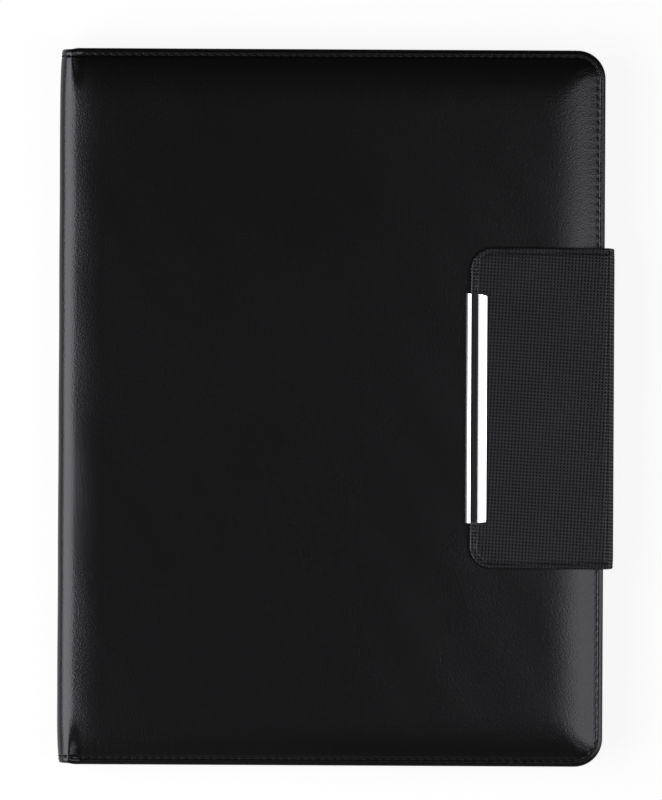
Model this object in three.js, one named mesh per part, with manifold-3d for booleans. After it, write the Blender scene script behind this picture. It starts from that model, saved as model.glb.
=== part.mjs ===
// A padded A4 conference folder in black imitation leather.
// Two padded covers are joined by a spine, and a wide strap with a metal clip at its tip
// comes out of the back cover's fore edge, wraps the edge and closes on magnets in the front cover.
// Sizes are in millimetres. x runs from the spine to the fore edge, y up the cover and z out of the
// front cover. The back cover lies on z = 0.
import * as THREE from "three";
import { mergeVertices, toCreasedNormals } from "three/addons/utils/BufferGeometryUtils.js";
import Module from "manifold-3d";

const wasm = await Module();
wasm.setup();

// Writing pad, which sets the size of the covers
const padWidth = 210;
const padHeight = 297;
const pageStack = 3.0;
const padCard = 0.8;
const tapeWidth = 12;
const tapeThickness = 0.25;
const spineMargin = 25;
const foreMargin = 5;
const endMargin = 9;
const coverWidth = spineMargin + padWidth + foreMargin;
const coverHeight = padHeight + 2 * endMargin;

// Layers of a cover, from the inside out
const liningThickness = 0.6;
const turnInThickness = 0.8;
const boardThickness = 1.5;
const paddingThickness = 1.3;
const skinThickness = 0.9;
const clearance = 0.3;
const panelThickness =
  liningThickness + turnInThickness + boardThickness + paddingThickness + clearance + skinThickness;

// Sewn edge of a cover
const seamThickness = 2.6;
const seamInset = 3.0;
const grooveWidth = 1.2;
const grooveDepth = 0.35;
const edgeRound = 0.9;
const foreCornerRadius = 12.5;
const puffWidth = 16;
const turnInWidth = 15;
const liningInset = 2.5;
const paddingInset = seamInset + 1.5;
const paddingTaper = 5;
const boardInset = paddingInset + paddingTaper;

// Space between the covers
const sleeveThickness = 0.7;
const paperSpace = 5.5;
const pocketStack = 1.6;
const innerHeight = padCard + sleeveThickness + pageStack + paperSpace + pocketStack;
const folderThickness = 2 * panelThickness + innerHeight;

// Soft hinges at the spine
const hingeRadius = 7;
const mitreGap = 0.3;
const spineEndStep = 0.6;
const liningStart = hingeRadius + 0.5;
const spineLiningRadius = 2.6;

// Pockets, pad sleeve and pen loop
const sleeveBorder = 2.0;
const sleeveTop = 40;
const pocketSkin = 0.8;
const pocketRecess = 0.4;
const pocketBorder = 5;
const pocketTop = 30;
const pocketCorner = 3;
const cardWidth = 86;
const cardPocketSkin = 0.5;
const cardPocketBorder = 6;
const cardPocketStep = 16;
const cardPocketFront = 44;
const cardPocketRise = 10;
const elasticThickness = 0.8;
const loopLength = 25;
const loopFoot = 1.6;
const loopHeadroom = 1.7;
const loopHeight = 62;

// Closing strap: its root in the back cover's seam, the strip up the fore edge, and the flap
const flapHeight = 141;
const flapReach = 59;
const flapCorner = 10;
const flapInnerCorner = 1;
const flapLiningThickness = 0.5;
const flapLiningInset = 1.0;
const flapThickness = skinThickness + turnInThickness + flapLiningThickness;
const flapTurnInWidth = 8;
const bondGap = 0.1;
const strapStandOff = 3.8;
const strapBend = 2.6;
const strapLean = THREE.MathUtils.degToRad(4);
const strapTongue = 8;
const embossPitch = 1.47;
const embossDepth = 0.25;

// Metal clip on the flap's tip
const clipLength = 101;
const clipMetal = 0.7;
const clipOverhang = 1.8;
const clipWidth = 9.1;
const clipLip = 6.4;
const clipCrown = 1.25;
const clipRim = 0.5;
const clipCorner = 0.8;
const restGap = 0.3;

// Magnets in the flap and in the front cover
const magnetDiameter = 14;
const coverMagnetThickness = 1.2;
const magnetFromForeEdge = 38;
const magnetSpacing = 70;

// Heights of the strap above the table
const strapRootBottom = panelThickness - flapThickness;
const flapBottom = folderThickness + restGap + clipMetal;
const flapTop = flapBottom + flapThickness;
const strapOuter = coverWidth + strapStandOff;
const flapTip = coverWidth - flapReach;

const arcSegments = 8;
const farAway = 400;

// Materials, in the colours of the photographed folder
const leather = new THREE.MeshStandardMaterial({ color: 0x1a1a1c, roughness: 0.48, metalness: 0 });
const embossed = new THREE.MeshStandardMaterial({ color: 0x242328, roughness: 0.42, metalness: 0 });
const liningCloth = new THREE.MeshStandardMaterial({ color: 0x202023, roughness: 0.85, metalness: 0 });
const greyBoard = new THREE.MeshStandardMaterial({ color: 0x8b8478, roughness: 0.9, metalness: 0 });
const foam = new THREE.MeshStandardMaterial({ color: 0xd9d4c6, roughness: 0.95, metalness: 0 });
const chrome = new THREE.MeshStandardMaterial({ color: 0xf2f2f0, roughness: 0.06, metalness: 1 });
const magnetMetal = new THREE.MeshStandardMaterial({ color: 0xa6a6a8, roughness: 0.35, metalness: 1 });
const paper = new THREE.MeshStandardMaterial({ color: 0xf6f4ee, roughness: 0.9, metalness: 0 });
const elastic = new THREE.MeshStandardMaterial({ color: 0x18181a, roughness: 0.9, metalness: 0 });

// A closed geometry as a solid that can be cut and joined
function solidOf(geometry) {
  const bare = new THREE.BufferGeometry();
  bare.setAttribute("position", geometry.getAttribute("position"));
  if (geometry.index) bare.setIndex(geometry.index);
  const merged = mergeVertices(bare, 1e-4);
  const faces = [];
  for (let i = 0; i < merged.index.count; i += 3) {
    const face = [merged.index.getX(i), merged.index.getX(i + 1), merged.index.getX(i + 2)];
    if (new Set(face).size === 3) faces.push(...face);
  }
  return new wasm.Manifold(
    new wasm.Mesh({
      numProp: 3,
      vertProperties: merged.attributes.position.array,
      triVerts: new Uint32Array(faces),
    }),
  );
}

function geometryOf(solid) {
  const mesh = solid.getMesh();
  const geometry = new THREE.BufferGeometry();
  geometry.setAttribute("position", new THREE.BufferAttribute(mesh.vertProperties, 3));
  geometry.setIndex(new THREE.BufferAttribute(mesh.triVerts, 1));
  return toCreasedNormals(geometry, Math.PI / 6);
}

function piece(name, solid, material) {
  const mesh = new THREE.Mesh(geometryOf(solid), material);
  mesh.name = name;
  return mesh;
}

// A shape drawn in x and y, made solid between two heights
function slab(shape, bottom, top) {
  const geometry = new THREE.ExtrudeGeometry(shape, {
    depth: top - bottom,
    bevelEnabled: false,
    curveSegments: arcSegments,
  });
  geometry.translate(0, 0, bottom);
  return solidOf(geometry);
}

// A section drawn in x and z, made solid over a length along y about y = 0
function bar(section, length) {
  const geometry = new THREE.ExtrudeGeometry(section, {
    depth: length,
    bevelEnabled: false,
    curveSegments: arcSegments,
  });
  geometry.applyMatrix4(
    new THREE.Matrix4().set(1, 0, 0, 0, 0, 0, -1, length / 2, 0, 1, 0, 0, 0, 0, 0, 1),
  );
  return solidOf(geometry);
}

function rectangle(left, right, low, high) {
  const shape = new THREE.Shape();
  shape.moveTo(left, low);
  shape.lineTo(right, low);
  shape.lineTo(right, high);
  shape.lineTo(left, high);
  shape.closePath();
  return shape;
}

// A rectangle with its own corner radius on the left side and on the right side
function roundedRectangle(left, right, low, high, leftRadius, rightRadius) {
  const shape = new THREE.Shape();
  shape.moveTo(left + leftRadius, low);
  shape.lineTo(right - rightRadius, low);
  if (rightRadius > 0)
    shape.absarc(right - rightRadius, low + rightRadius, rightRadius, -Math.PI / 2, 0, false);
  shape.lineTo(right, high - rightRadius);
  if (rightRadius > 0)
    shape.absarc(right - rightRadius, high - rightRadius, rightRadius, 0, Math.PI / 2, false);
  shape.lineTo(left + leftRadius, high);
  if (leftRadius > 0)
    shape.absarc(left + leftRadius, high - leftRadius, leftRadius, Math.PI / 2, Math.PI, false);
  shape.lineTo(left, low + leftRadius);
  if (leftRadius > 0)
    shape.absarc(left + leftRadius, low + leftRadius, leftRadius, Math.PI, 1.5 * Math.PI, false);
  return shape;
}

// One closed outline of a cover, held in from its three sewn sides but not from the spine side
function coverRing(inset, height, left) {
  const radius = Math.max(foreCornerRadius - inset, 0);
  const right = coverWidth - inset;
  const top = coverHeight / 2 - inset;
  const ring = [new THREE.Vector3(left, -top, height)];
  for (const [side, from] of [[-1, -Math.PI / 2], [1, 0]]) {
    for (let step = 0; step <= arcSegments; step++) {
      const angle = from + ((Math.PI / 2) * step) / arcSegments;
      ring.push(
        new THREE.Vector3(
          right - radius + radius * Math.cos(angle),
          side * (top - radius) + radius * Math.sin(angle),
          height,
        ),
      );
    }
  }
  ring.push(new THREE.Vector3(left, top, height));
  return ring;
}

// Joins outlines with equal point counts, from the bottom cap to the top cap
function loft(rings) {
  const count = rings[0].length;
  const positions = rings.flat().flatMap((point) => [point.x, point.y, point.z]);
  const faces = [];
  for (let ring = 0; ring + 1 < rings.length; ring++) {
    for (let i = 0; i < count; i++) {
      const a = ring * count + i;
      const b = ring * count + ((i + 1) % count);
      faces.push(a, b, b + count, a, b + count, a + count);
    }
  }
  const outline = rings[0].map((point) => new THREE.Vector2(point.x, point.y));
  for (const [a, b, c] of THREE.ShapeUtils.triangulateShape(outline, [])) {
    const last = (rings.length - 1) * count;
    faces.push(c, b, a, last + a, last + b, last + c);
  }
  const geometry = new THREE.BufferGeometry();
  geometry.setAttribute("position", new THREE.Float32BufferAttribute(positions, 3));
  geometry.setIndex(faces);
  return solidOf(geometry);
}

// How far the padded outer face stands above the inner face, by the distance from the edge
const puffStart = seamInset + grooveWidth / 2;
function paddedHeight(inset) {
  const share = THREE.MathUtils.clamp((inset - puffStart) / puffWidth, 0, 1);
  return seamThickness + (panelThickness - seamThickness) * (1 - (1 - share) ** 2);
}

const puffShares = [0.1, 0.22, 0.36, 0.55, 1];
const puffInsets = puffShares.map((share) => puffStart + share * puffWidth);

// Rings of a quarter round on the edge, from one height to another
function edgeRings(centreHeight, from, to, left) {
  const rings = [];
  for (let step = 0; step <= 3; step++) {
    const angle = from + ((to - from) * step) / 3;
    const inset = edgeRound - edgeRound * Math.cos(angle);
    rings.push(coverRing(inset, centreHeight + edgeRound * Math.sin(angle), left));
  }
  return rings;
}

// The outer form of a cover: round edge, stitch groove and padded face
function paddedForm(left) {
  return loft([
    ...edgeRings(liningThickness + edgeRound, -Math.PI / 2, 0, left),
    ...edgeRings(seamThickness - edgeRound, 0, Math.PI / 2, left),
    coverRing(seamInset - grooveWidth / 2, seamThickness, left),
    coverRing(seamInset, seamThickness - grooveDepth, left),
    coverRing(puffStart, seamThickness, left),
    ...puffInsets.map((inset) => coverRing(inset, paddedHeight(inset), left)),
  ]);
}

// The same form drawn in from the outer face, down to the turned-in edge
function paddedCore(firstInset, depth, left) {
  const insets = [firstInset, ...puffInsets.filter((inset) => inset > firstInset + 0.5)];
  return loft([
    coverRing(firstInset, liningThickness + turnInThickness, left),
    ...insets.map((inset) => coverRing(inset, paddedHeight(inset) - depth, left)),
  ]);
}

// Section of a cover at the spine: all that lies inside the hinge's round, at a depth under the skin
function hingeSection(depth) {
  const radius = hingeRadius - depth;
  const centre = panelThickness - hingeRadius;
  const section = new THREE.Shape();
  section.moveTo(hingeRadius - radius, -farAway);
  section.lineTo(farAway, -farAway);
  section.lineTo(farAway, panelThickness - depth);
  section.lineTo(hingeRadius, panelThickness - depth);
  section.absarc(hingeRadius, centre, radius, Math.PI / 2, Math.PI, false);
  section.closePath();
  return bar(section, farAway);
}

// The half space on the spine's side of the 45 degree mitre
function spineSideOfMitre() {
  const reach = panelThickness + mitreGap / Math.SQRT2;
  const section = new THREE.Shape();
  section.moveTo(-farAway, reach + farAway);
  section.lineTo(-farAway, -farAway);
  section.lineTo(reach + farAway, -farAway);
  section.closePath();
  return bar(section, farAway);
}

// Imitation leather over one cover, with its three sewn edges turned to the inside
function coverSkin() {
  const cavity = paddedCore(paddingInset - clearance, skinThickness, -farAway / 4);
  const window = slab(
    rectangle(
      -farAway,
      coverWidth - turnInWidth,
      -coverHeight / 2 + turnInWidth,
      coverHeight / 2 - turnInWidth,
    ),
    0,
    liningThickness + turnInThickness,
  );
  return paddedForm(-farAway / 4)
    .intersect(hingeSection(0))
    .subtract(cavity.intersect(hingeSection(skinThickness)))
    .subtract(window.intersect(hingeSection(skinThickness)))
    .subtract(spineSideOfMitre());
}

const boardLeft = liningStart;
const boardBottom = liningThickness + turnInThickness;
const boardTop = boardBottom + boardThickness;

function coverBoard(magnets) {
  let board = loft([
    coverRing(boardInset, boardBottom, boardLeft),
    coverRing(boardInset, boardTop, boardLeft),
  ]);
  for (const magnet of magnets) {
    board = board.subtract(
      disc(magnet, magnetDiameter / 2 + clearance, boardTop - coverMagnetThickness, boardTop + 1),
    );
  }
  return board;
}

// Foam over the board, tapering off at the seam
function coverPadding() {
  const overBoard = loft([
    coverRing(boardInset - clearance, 0, boardLeft - clearance),
    coverRing(boardInset - clearance, boardTop, boardLeft - clearance),
  ]);
  return paddedCore(paddingInset, skinThickness + clearance, boardLeft - clearance / 2).subtract(overBoard);
}

// Lining with the filler sheet that levels the turned-in edge
function coverLining() {
  const fillerInset = turnInWidth + clearance;
  return loft([
    coverRing(liningInset, 0, liningStart),
    coverRing(liningInset, liningThickness, liningStart),
    coverRing(fillerInset, liningThickness, liningStart),
    coverRing(fillerInset, boardBottom, liningStart),
  ]);
}

// The back lining leaves room for the strap's tongue
function backLining() {
  const half = flapHeight / 2 + clearance;
  const notch = rectangle(coverWidth - strapTongue - clearance, farAway, -half, half);
  return coverLining().subtract(slab(notch, -1, liningThickness));
}

// An upright cylinder
function disc(centre, radius, bottom, top) {
  const shape = new THREE.Shape();
  shape.absarc(centre.x, centre.y, radius, 0, 2 * Math.PI, false);
  const geometry = new THREE.ExtrudeGeometry(shape, {
    depth: top - bottom,
    bevelEnabled: false,
    curveSegments: 3 * arcSegments,
  });
  geometry.translate(0, 0, bottom);
  return solidOf(geometry);
}

const magnetPlaces = {
  upper: new THREE.Vector2(coverWidth - magnetFromForeEdge, magnetSpacing / 2),
  lower: new THREE.Vector2(coverWidth - magnetFromForeEdge, -magnetSpacing / 2),
};

// How much of an arc's angle half the gap of a mitre takes
function gapAngle(radius) {
  return Math.asin(mitreGap / 2 / radius);
}

// A folded sheet that follows the spine's outside between two depths under its outer face
function spineSheet(outerDepth, innerDepth, length) {
  const high = folderThickness - hingeRadius;
  const outer = hingeRadius - outerDepth;
  const inner = hingeRadius - innerDepth;
  const outerTurn = Math.PI / 4 - gapAngle(outer);
  const innerTurn = Math.PI / 4 - gapAngle(inner);
  const section = new THREE.Shape();
  section.absarc(hingeRadius, high, outer, Math.PI - outerTurn, Math.PI, false);
  section.absarc(hingeRadius, hingeRadius, outer, Math.PI, Math.PI + outerTurn, false);
  section.absarc(hingeRadius, hingeRadius, inner, Math.PI + innerTurn, Math.PI, true);
  section.absarc(hingeRadius, high, inner, Math.PI, Math.PI - innerTurn, true);
  section.closePath();
  return bar(section, length);
}

const spineLength = coverHeight - 2 * spineEndStep;

// The spine's leather, doubled at both ends where it is turned in
function spineSkin() {
  const folded = spineSheet(skinThickness, skinThickness + turnInThickness, spineLength);
  const between = bar(
    rectangle(-1, hingeRadius, -1, folderThickness + 1),
    spineLength - 2 * turnInWidth,
  );
  return spineSheet(0, skinThickness, spineLength).add(folded.subtract(between));
}

function spineBoard() {
  return bar(
    rectangle(skinThickness, skinThickness + boardThickness, hingeRadius, folderThickness - hingeRadius),
    spineLength - 2 * turnInWidth - 2 * clearance,
  );
}

// The spine's lining, a shallow trough that ends just short of the covers' linings
function spineLining() {
  const low = panelThickness - liningThickness;
  const high = folderThickness - panelThickness + liningThickness;
  const back = skinThickness + boardThickness;
  const end = liningStart - clearance;
  const outer = spineLiningRadius;
  const inner = spineLiningRadius - liningThickness;
  const section = new THREE.Shape();
  section.moveTo(end, high);
  section.absarc(back + outer, high - outer, outer, Math.PI / 2, Math.PI, false);
  section.absarc(back + outer, low + outer, outer, Math.PI, 1.5 * Math.PI, false);
  section.lineTo(end, low);
  section.lineTo(end, low + liningThickness);
  section.absarc(back + outer, low + outer, inner, 1.5 * Math.PI, Math.PI, true);
  section.absarc(back + outer, high - outer, inner, Math.PI, Math.PI / 2, true);
  section.lineTo(end, high - liningThickness);
  section.closePath();
  return bar(section, coverHeight - 2 * liningInset);
}

// Sleeve on the back lining, which holds the pad by its card
const cardCavity = rectangle(
  spineMargin - clearance,
  spineMargin + padWidth + clearance,
  -padHeight / 2 - clearance,
  farAway,
);
function padSleeve() {
  const side = clearance + sleeveBorder;
  return slab(
    roundedRectangle(
      spineMargin - side,
      spineMargin + padWidth + side,
      -padHeight / 2 - side,
      sleeveTop,
      sleeveBorder,
      sleeveBorder,
    ),
    0,
    padCard + sleeveThickness,
  ).subtract(slab(cardCavity, -1, padCard));
}

const pageBottom = padCard + sleeveThickness;
const pageTop = pageBottom + pageStack;
const padOutline = rectangle(spineMargin, spineMargin + padWidth, -padHeight / 2, padHeight / 2);

// Cloth tape over the head of the pad, from the page face down the glued edge
function padTape() {
  const head = padHeight / 2;
  const side = spineMargin + padWidth;
  const over = slab(
    rectangle(spineMargin, side, head - tapeWidth, head + tapeThickness),
    pageTop,
    pageTop + tapeThickness,
  );
  const down = slab(rectangle(spineMargin, side, head, head + tapeThickness), 0, pageTop);
  return over.add(down);
}

// Elastic loop for a pen, between the spine and the pad
function penLoop() {
  const inner = (innerHeight - elasticThickness - loopHeadroom) / 2;
  const outer = inner + elasticThickness;
  const foot = outer + loopFoot;
  const section = new THREE.Shape();
  section.moveTo(-foot, 0);
  section.lineTo(-inner, 0);
  section.absarc(0, inner, inner, Math.PI, 0, true);
  section.lineTo(inner, 0);
  section.lineTo(foot, 0);
  section.lineTo(foot, elasticThickness);
  section.lineTo(outer, elasticThickness);
  section.absarc(0, inner, outer, 0, Math.PI, false);
  section.lineTo(-outer, elasticThickness);
  section.lineTo(-foot, elasticThickness);
  section.closePath();
  return bar(section, loopLength);
}

// Pocket for loose papers on the front lining, sewn on three sides and open at the top
function documentPocket() {
  const side = clearance + sleeveBorder;
  const left = spineMargin - side;
  const right = spineMargin + padWidth + side;
  const low = -padHeight / 2 - side;
  const sheet = slab(
    roundedRectangle(left, right, low, pocketTop, pocketCorner, pocketCorner),
    -pocketSkin - pocketRecess,
    0,
  );
  return sheet.subtract(
    slab(
      rectangle(left + pocketBorder, right - pocketBorder, low + pocketBorder, farAway),
      -pocketRecess,
      1,
    ),
  );
}

// One of the stepped card pockets, counted from the lining
function cardPocket(layer) {
  const middle = spineMargin + padWidth / 2;
  const half = cardWidth / 2 + cardPocketBorder;
  const low = pocketTop + cardPocketRise;
  const high = low + cardPocketFront + (2 - layer) * cardPocketStep;
  return slab(
    roundedRectangle(middle - half, middle + half, low, high, pocketCorner, pocketCorner),
    -(layer + 1) * cardPocketSkin,
    -layer * cardPocketSkin,
  );
}

// The strap's outer face in x and z: root, lower bend, leaning strip, upper bend and flap.
// Angles on a bend are those of its outward direction, and each bend is parted at its middle.
const lowBend = new THREE.Vector2(strapOuter - strapBend, strapRootBottom + strapBend);
const stripRise = flapTop - strapBend - lowBend.y;
const highBend = new THREE.Vector2(lowBend.x - stripRise * Math.tan(strapLean), lowBend.y + stripRise);
const lowMitre = (strapLean - Math.PI / 2) / 2;
const highMitre = (strapLean + Math.PI / 2) / 2;

// Root, with a thinned tongue that lies on the back cover's turned-in edge
function strapRoot() {
  const inner = strapBend - flapThickness;
  const section = new THREE.Shape();
  section.moveTo(coverWidth + clearance, strapRootBottom);
  section.absarc(lowBend.x, lowBend.y, strapBend, -Math.PI / 2, lowMitre - gapAngle(strapBend), false);
  section.absarc(lowBend.x, lowBend.y, inner, lowMitre - gapAngle(inner), -Math.PI / 2, true);
  section.lineTo(coverWidth - strapTongue, panelThickness);
  section.lineTo(coverWidth - strapTongue, panelThickness - liningThickness);
  section.lineTo(coverWidth + clearance, panelThickness - liningThickness);
  section.closePath();
  return bar(section, flapHeight);
}

function strapStrip(outerDepth, innerDepth, height) {
  const outer = strapBend - outerDepth;
  const inner = strapBend - innerDepth;
  const section = new THREE.Shape();
  section.absarc(lowBend.x, lowBend.y, outer, lowMitre + gapAngle(outer), strapLean, false);
  section.absarc(highBend.x, highBend.y, outer, strapLean, highMitre - gapAngle(outer), false);
  section.absarc(highBend.x, highBend.y, inner, highMitre - gapAngle(inner), strapLean, true);
  section.absarc(lowBend.x, lowBend.y, inner, strapLean, lowMitre + gapAngle(inner), true);
  section.closePath();
  return bar(section, height);
}

function flapSheet(outerDepth, innerDepth, inset) {
  const outer = strapBend - outerDepth;
  const inner = strapBend - innerDepth;
  const section = new THREE.Shape();
  section.absarc(highBend.x, highBend.y, outer, highMitre + gapAngle(outer), Math.PI / 2, false);
  section.lineTo(flapTip, flapTop - outerDepth);
  section.lineTo(flapTip, flapTop - innerDepth);
  section.absarc(highBend.x, highBend.y, inner, Math.PI / 2, highMitre + gapAngle(inner), true);
  section.closePath();
  return bar(section, flapHeight - 2 * inset).intersect(slab(flapOutline(inset), 0, farAway));
}

function flapOutline(inset) {
  return roundedRectangle(
    flapTip + inset,
    farAway,
    -flapHeight / 2 + inset,
    flapHeight / 2 - inset,
    Math.max(flapCorner - inset, flapInnerCorner),
    0,
  );
}

// Rows pressed into the flap's face, between its tip and its bend
function embossing() {
  const half = embossDepth * 0.9;
  const rows = Math.floor((flapHeight - embossPitch) / embossPitch / 2);
  const cuts = [];
  for (let row = -rows; row <= rows; row++) {
    const cut = new THREE.Shape();
    cut.moveTo(row * embossPitch - half, embossDepth);
    cut.lineTo(row * embossPitch, -embossDepth);
    cut.lineTo(row * embossPitch + half, embossDepth);
    cut.closePath();
    const geometry = new THREE.ExtrudeGeometry(cut, { depth: farAway, bevelEnabled: false });
    geometry.rotateX(Math.PI / 2);
    geometry.rotateZ(Math.PI / 2);
    geometry.translate(highBend.x - farAway, 0, flapTop);
    cuts.push(solidOf(geometry));
  }
  return wasm.Manifold.union(cuts);
}

// Embossed leather of the flap, with its edge turned in, a stitch groove and room for the stiffener
const stiffenerEnd = coverWidth - clearance;
function flapSkin() {
  const groove = slab(flapOutline(seamInset - grooveWidth / 3), flapTop - grooveDepth, farAway).subtract(
    slab(flapOutline(seamInset + grooveWidth / 3), 0, farAway),
  );
  const room = slab(flapOutline(flapTurnInWidth), 0, flapTop - skinThickness).intersect(
    slab(rectangle(0, stiffenerEnd, -farAway, farAway), 0, farAway),
  );
  return flapSheet(0, skinThickness + turnInThickness, 0)
    .subtract(groove)
    .subtract(room)
    .subtract(embossing());
}

const stiffenerBottom = flapBottom + flapLiningThickness;
const stiffenerTop = flapTop - skinThickness;
function flapStiffener() {
  let sheet = slab(flapOutline(flapTurnInWidth + clearance), stiffenerBottom, stiffenerTop).intersect(
    slab(rectangle(0, stiffenerEnd - clearance, -farAway, farAway), 0, farAway),
  );
  for (const place of Object.values(magnetPlaces)) {
    sheet = sheet.subtract(disc(place, magnetDiameter / 2 + clearance, 0, farAway));
  }
  return sheet;
}

// Metal clip folded round the flap's tip, crowned near its free edge
function metalClip() {
  const left = -clipOverhang;
  const right = clipWidth - clipOverhang;
  const lipEnd = clipLip - clipOverhang;
  const crownAt = clipWidth * 0.42 - clipOverhang;
  const top = flapThickness + clipCrown;
  const section = new THREE.Shape();
  section.moveTo(right, flapThickness);
  section.lineTo(right, flapThickness + clipRim);
  section.bezierCurveTo(right - 1.4, top - 0.22, crownAt + 1.6, top, crownAt, top);
  section.bezierCurveTo(crownAt - 1.8, top, left, top - 0.7, left, flapThickness / 2);
  section.bezierCurveTo(left, -clipMetal * 0.3, left + 0.4, -clipMetal, left + 1.2, -clipMetal);
  section.lineTo(lipEnd, -clipMetal);
  section.lineTo(lipEnd, 0);
  section.lineTo(-clearance, 0);
  section.lineTo(-clearance, flapThickness);
  section.closePath();
  return bar(section, clipLength).intersect(
    slab(
      roundedRectangle(left - 1, right, -clipLength / 2, clipLength / 2, 0, clipCorner),
      -farAway,
      farAway,
    ),
  );
}

function group(...children) {
  const made = new THREE.Group();
  made.add(...children);
  return made;
}

// Front cover, outer face up
const frontCover = group(
  piece("front_skin", coverSkin(), leather),
  piece("front_padding", coverPadding(), foam),
  piece("front_board", coverBoard(Object.values(magnetPlaces)), greyBoard),
  piece("front_lining", coverLining(), liningCloth),
  piece("document_pocket", documentPocket(), leather),
);
["back", "middle", "front"].forEach((place, layer) => {
  frontCover.add(piece(`card_pocket_${place}`, cardPocket(layer), leather));
});
for (const [place, centre] of Object.entries(magnetPlaces)) {
  const magnet = disc(centre, magnetDiameter / 2, boardTop - coverMagnetThickness, boardTop);
  frontCover.add(piece(`cover_magnet_${place}`, magnet, magnetMetal));
}
frontCover.position.z = folderThickness - panelThickness;

const spine = group(
  piece("spine_skin", spineSkin(), leather),
  piece("spine_board", spineBoard(), greyBoard),
  piece("spine_lining", spineLining(), liningCloth),
);

// Back cover, the front cover's mirror image, outer face down
const backCover = group(
  piece("back_skin", coverSkin(), leather),
  piece("back_padding", coverPadding(), foam),
  piece("back_board", coverBoard([]), greyBoard),
  piece("back_lining", backLining(), liningCloth),
);
backCover.scale.z = -1;
backCover.position.z = panelThickness;

const loop = piece("pen_loop", penLoop(), elastic);
loop.position.set((liningStart + spineMargin - clearance - sleeveBorder) / 2, loopHeight, 0);
const backContents = group(
  piece("pad_card", slab(padOutline, 0, padCard), greyBoard),
  piece("pad_sleeve", padSleeve(), leather),
  piece("pad_pages", slab(padOutline, pageBottom, pageTop), paper),
  piece("pad_tape", padTape(), elastic),
  loop,
);
backContents.position.z = panelThickness;

// The strap's three stretches
const skinDepth = skinThickness + turnInThickness;
const strap = group(
  piece("strap_root", strapRoot(), embossed),
  piece("strip_skin", strapStrip(0, skinDepth, flapHeight), embossed),
  piece(
    "strip_lining",
    strapStrip(skinDepth + bondGap, flapThickness, flapHeight - 2 * flapLiningInset),
    leather,
  ),
  piece("flap_skin", flapSkin(), embossed),
  piece("flap_stiffener", flapStiffener(), greyBoard),
  piece("flap_lining", flapSheet(skinDepth, flapThickness, flapLiningInset), leather),
);
for (const [place, centre] of Object.entries(magnetPlaces)) {
  const magnet = disc(centre, magnetDiameter / 2, stiffenerBottom, stiffenerTop);
  strap.add(piece(`flap_magnet_${place}`, magnet, magnetMetal));
}
const clip = piece("metal_clip", metalClip(), chrome);
clip.position.set(flapTip, 0, flapBottom);
strap.add(clip);

// The folder stands with the middle of its base at the origin
const folder = group(frontCover, spine, backCover, backContents, strap);
folder.position.x = -strapOuter / 2;

export default folder;
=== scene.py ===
import math

import bmesh
import bpy
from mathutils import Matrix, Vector


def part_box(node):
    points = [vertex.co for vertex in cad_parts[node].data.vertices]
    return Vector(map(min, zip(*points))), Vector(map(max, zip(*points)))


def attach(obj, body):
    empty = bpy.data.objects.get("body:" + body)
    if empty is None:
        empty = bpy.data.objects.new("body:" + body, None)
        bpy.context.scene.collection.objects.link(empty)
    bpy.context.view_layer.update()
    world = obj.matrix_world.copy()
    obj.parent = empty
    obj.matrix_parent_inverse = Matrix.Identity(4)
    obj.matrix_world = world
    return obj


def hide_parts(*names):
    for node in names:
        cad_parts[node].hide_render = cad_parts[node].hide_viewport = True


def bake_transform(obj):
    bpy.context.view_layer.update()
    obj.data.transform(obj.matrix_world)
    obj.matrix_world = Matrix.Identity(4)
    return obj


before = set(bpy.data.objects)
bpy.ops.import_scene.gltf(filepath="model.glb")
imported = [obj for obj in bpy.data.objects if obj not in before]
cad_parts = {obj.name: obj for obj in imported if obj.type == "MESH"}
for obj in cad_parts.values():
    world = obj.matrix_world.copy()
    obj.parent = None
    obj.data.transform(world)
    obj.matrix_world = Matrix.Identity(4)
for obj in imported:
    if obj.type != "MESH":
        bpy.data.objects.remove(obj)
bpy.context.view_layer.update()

# Sizes in millimetres, as the solids have them
MM = 0.001
COVER_WIDTH = 240
COVER_HEIGHT = 315
PANEL = 5.4
SEAM = 2.6
CLOSED = 22.4
HINGE = 7
FORE_CORNER = 12.5
EDGE_ROUND = 0.9
SEAM_INSET = 3.0
SEAM_STEPS = (0, 0.35, 0.75, 1.15, 1.5, 1.8, 2.1, 2.4, 2.7, 3.1, 3.6, 4.3, 5.2, 6.2)
PUFF_START = 3.6
PUFF_WIDTH = 27
PUFF_FALL = 3.1
LINING = 0.6
LINING_INSET = 2.5
LINING_WALL = 3.0
LINING_ROUND = 2.0
CREASE_FALL = 0.88
CREASE_REACH = 13
SAG = 0.18
SAG_REACH = 65
SPINE_STEP = 0.6
HOLE_DEPTH = 0.34
GROOVE_DEPTH = 0.2
PUCKER_DEPTH = 0.07
LIP_DROP = 0.32
STITCH_PITCH = 3.6
STITCH_LENGTH = 2.75
THREAD = 0.24
INNER_LOW = PANEL
INNER_HIGH = CLOSED - PANEL
MIDDLE = CLOSED / 2
STRAP_OUTER = COVER_WIDTH + 3.8
STRAP_BEND = 2.6
STRAP_LEAN = math.radians(4)
STRAP_THICK = 2.2
STRAP_BULGE = 1.3
FLAP_HEIGHT = 141
HALF_FLAP = FLAP_HEIGHT / 2
FLAP_REACH = 59
FLAP_CORNER = 10
FLAP_BOTTOM = CLOSED + 0.3 + 0.7
FLAP_TOP = FLAP_BOTTOM + STRAP_THICK
FLAP_TIP = COVER_WIDTH - FLAP_REACH
FLAP_SEAM = 2.4
DIMPLE_PITCH = 1.47
DIMPLE_DEPTH = 0.22
DIMPLE_TURN = math.radians(-3)
TURN_COS, TURN_SIN = math.cos(DIMPLE_TURN), math.sin(DIMPLE_TURN)
STRAP_GROOVE = 0.28
STRAP_WRAP = 1.7
CLIP_LENGTH = 101
CLIP_WIDTH = 9.1
CLIP_OVERHANG = 1.8
CLIP_CROWN = 1.25
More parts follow.
